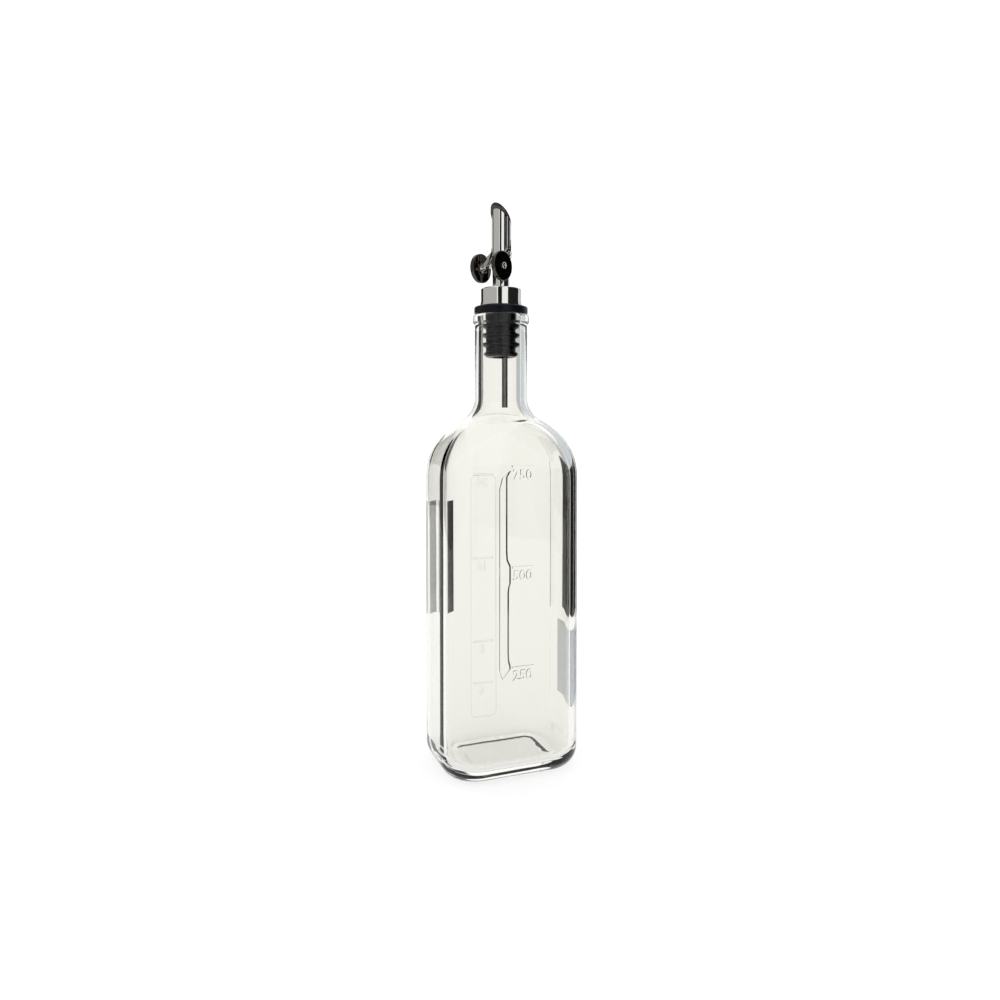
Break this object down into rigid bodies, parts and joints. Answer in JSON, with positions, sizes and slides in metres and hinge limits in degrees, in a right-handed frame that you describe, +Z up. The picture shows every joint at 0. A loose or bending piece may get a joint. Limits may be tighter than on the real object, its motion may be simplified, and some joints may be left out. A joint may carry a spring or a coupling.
{
  "type": "condiment bottle",
  "caption": "Rectangular clear glass oil and vinegar bottle with a ribbed stopper and a steel pourer whose weighted flap swings open to pour.",
  "frame": {"origin": "on the bottle's axis, on the plane that it stands on", "axes": "+Z up along the neck; the wide faces look along -Y, which has the millilitre scale, and +Y"},
  "size_m": [0.0846, 0.0696, 0.3336],
  "materials": {
    "glass": "clear, very slightly warm, polished",
    "rubber": "satin black",
    "steel": "polished stainless steel"
  },
  "bodies": {
    "bottle": {"glass_bottle": "glass", "rubber_stopper": "rubber", "steel_collar": "steel", "spout_tube": "steel", "air_tube": "steel", "near_hinge_pin": "steel", "far_hinge_pin": "steel"},
    "flap": {"pour_flap": "steel", "near_weight": "steel", "far_weight": "steel", "weight_rod": "steel"}
  },
  "joints": [
    {"name": "flap_hinge", "type": "hinge", "parent": "bottle", "child": "flap", "pos_m": [-0.00034, -0.00021, 0.3035], "axis": [-0.521, 0.8536, 0], "range_deg": [0, 75]}
  ]
}
